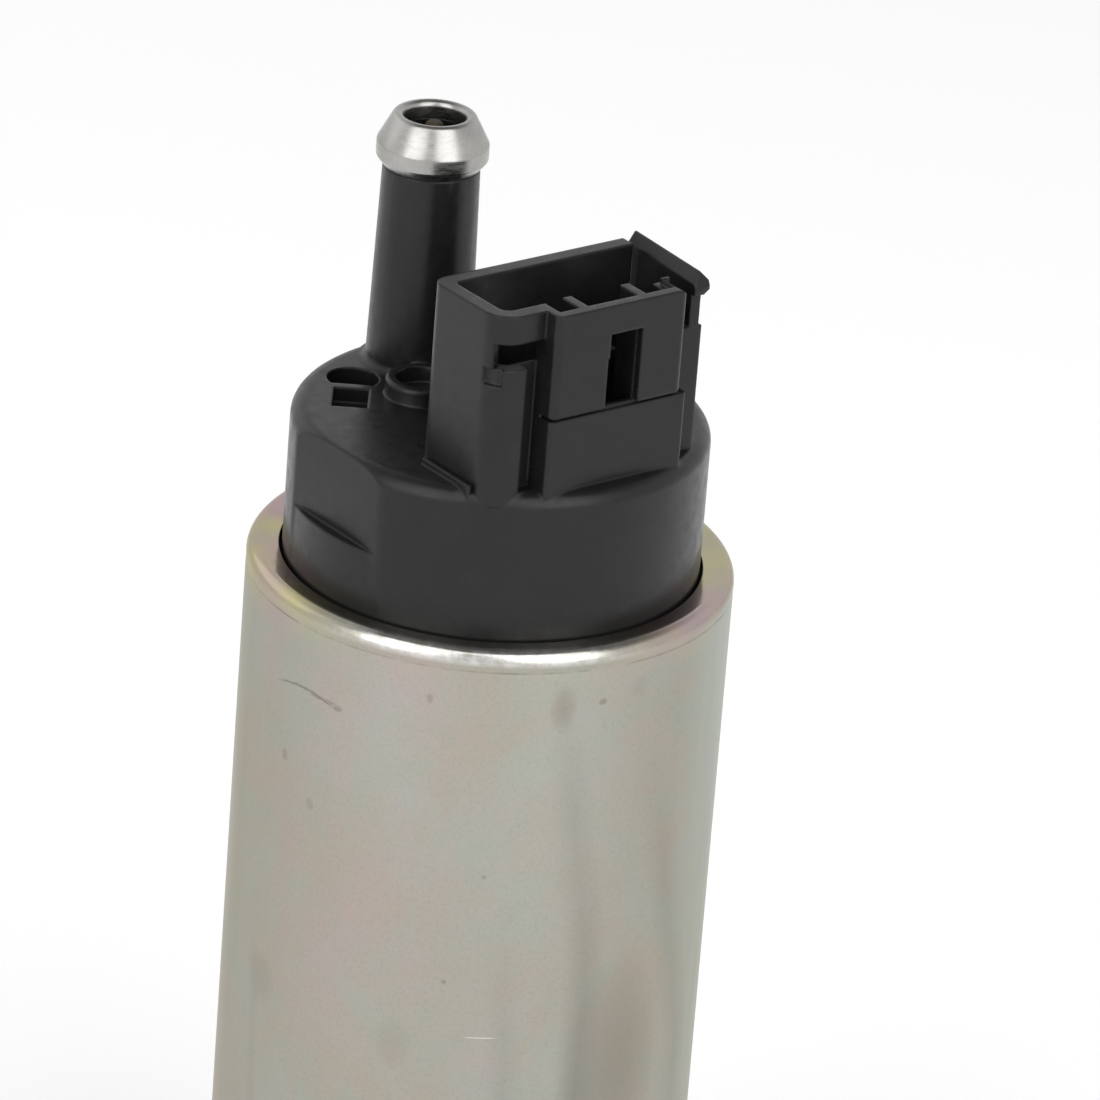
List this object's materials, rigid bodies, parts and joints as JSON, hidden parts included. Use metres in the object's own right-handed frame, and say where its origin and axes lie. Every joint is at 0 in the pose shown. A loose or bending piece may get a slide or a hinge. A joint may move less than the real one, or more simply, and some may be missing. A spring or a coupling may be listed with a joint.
{
  "type": "electric fuel pump",
  "caption": "In-tank electric fuel pump: plated steel can, black outlet cover with metal-tipped hose spigot and plug socket, suction nipple below, motor and gear element inside.",
  "frame": {"origin": "centre of the suction nipple's end face, on the pump's axis", "axes": "+Z along the pump's axis towards the outlet; +X along the plug socket's long side; the socket's front wall faces -Y and the outlet tube stands at +Y"},
  "size_m": [0.039, 0.039, 0.1133],
  "materials": {
    "zinc_plated_steel": "yellow tinted zinc plating, satin",
    "black_plastic": "satin moulded surface",
    "bright_steel": "turned, satin",
    "cast_metal": "die cast",
    "sintered_steel": "ground sintered steel",
    "dark_plate": "hard anodised",
    "plain_steel": "oiled steel",
    "magnet": "sintered ferrite",
    "core_sheets": "stacked steel sheets",
    "enamelled_wire": "enamelled copper wire",
    "copper": "bare copper",
    "brown_resin": "moulded resin",
    "bronze": "sintered bronze",
    "carbon": "pressed carbon",
    "spring_steel": "drawn spring wire",
    "brass": "turned brass",
    "tinned_brass": "tinned brass strip",
    "rubber": "fuel resistant rubber"
  },
  "bodies": {
    "pump_body": {"housing_can": "zinc_plated_steel", "suction_casting": "cast_metal", "can_seal_ring": "rubber", "thrust_pad": "bronze", "pump_ring": "dark_plate", "port_plate": "dark_plate", "lower_bearing": "bronze", "pump_dowels": "plain_steel", "flux_ring": "plain_steel", "magnet_left": "magnet", "magnet_right": "magnet", "magnet_clips": "spring_steel", "upper_bearing": "bronze", "outlet_cover": "black_plastic", "cover_seal_ring": "rubber", "brush_spring_left": "spring_steel", "brush_spring_right": "spring_steel", "brush_lead_left": "copper", "brush_lead_right": "copper", "terminal_left": "tinned_brass", "terminal_right": "tinned_brass", "outlet_tip": "bright_steel", "check_spring": "spring_steel", "check_guide": "black_plastic", "relief_seat": "brass", "relief_spring": "spring_steel"},
    "rotor": {"motor_shaft": "bright_steel", "armature_core": "core_sheets", "armature_windings": "enamelled_wire", "commutator_hub": "brown_resin", "commutator_bars": "copper", "inner_gear": "sintered_steel"},
    "ring_gear": {"outer_gear": "sintered_steel"},
    "left_brush": {"brush_left": "carbon"},
    "right_brush": {"brush_right": "carbon"},
    "check_poppet": {"check_valve": "brass"},
    "relief_poppet": {"relief_ball": "bright_steel"}
  },
  "joints": [
    {"name": "rotor_spin", "type": "hinge", "parent": "pump_body", "child": "rotor", "pos_m": [0, 0, 0.05], "axis": [0, 0, 1], "continuous": true},
    {"name": "ring_gear_spin", "type": "hinge", "parent": "pump_body", "child": "ring_gear", "pos_m": [-0.0008, 0, 0.028], "axis": [0, 0, 1], "continuous": true},
    {"name": "left_brush_slide", "type": "slide", "parent": "pump_body", "child": "left_brush", "axis": [0, 0, 1], "range_m": [0, 0.004], "stiffness_N_per_m": 250, "springref_m": -0.005, "deforming": ["brush_spring_left", "brush_lead_left"]},
    {"name": "right_brush_slide", "type": "slide", "parent": "pump_body", "child": "right_brush", "axis": [0, 0, 1], "range_m": [0, 0.004], "stiffness_N_per_m": 250, "springref_m": -0.005, "deforming": ["brush_spring_right", "brush_lead_right"]},
    {"name": "check_valve_lift", "type": "slide", "parent": "pump_body", "child": "check_poppet", "axis": [0, 0, 1], "range_m": [0, 0.0012], "stiffness_N_per_m": 150, "springref_m": -0.003, "deforming": ["check_spring"]},
    {"name": "relief_ball_lift", "type": "slide", "parent": "pump_body", "child": "relief_poppet", "axis": [0, 0, 1], "range_m": [0, 0.001], "stiffness_N_per_m": 1500, "springref_m": -0.002, "deforming": ["relief_spring"]}
  ],
  "couplings": [
    {"joint": "ring_gear_spin", "follows": "rotor_spin", "ratio": 0.85714}
  ]
}
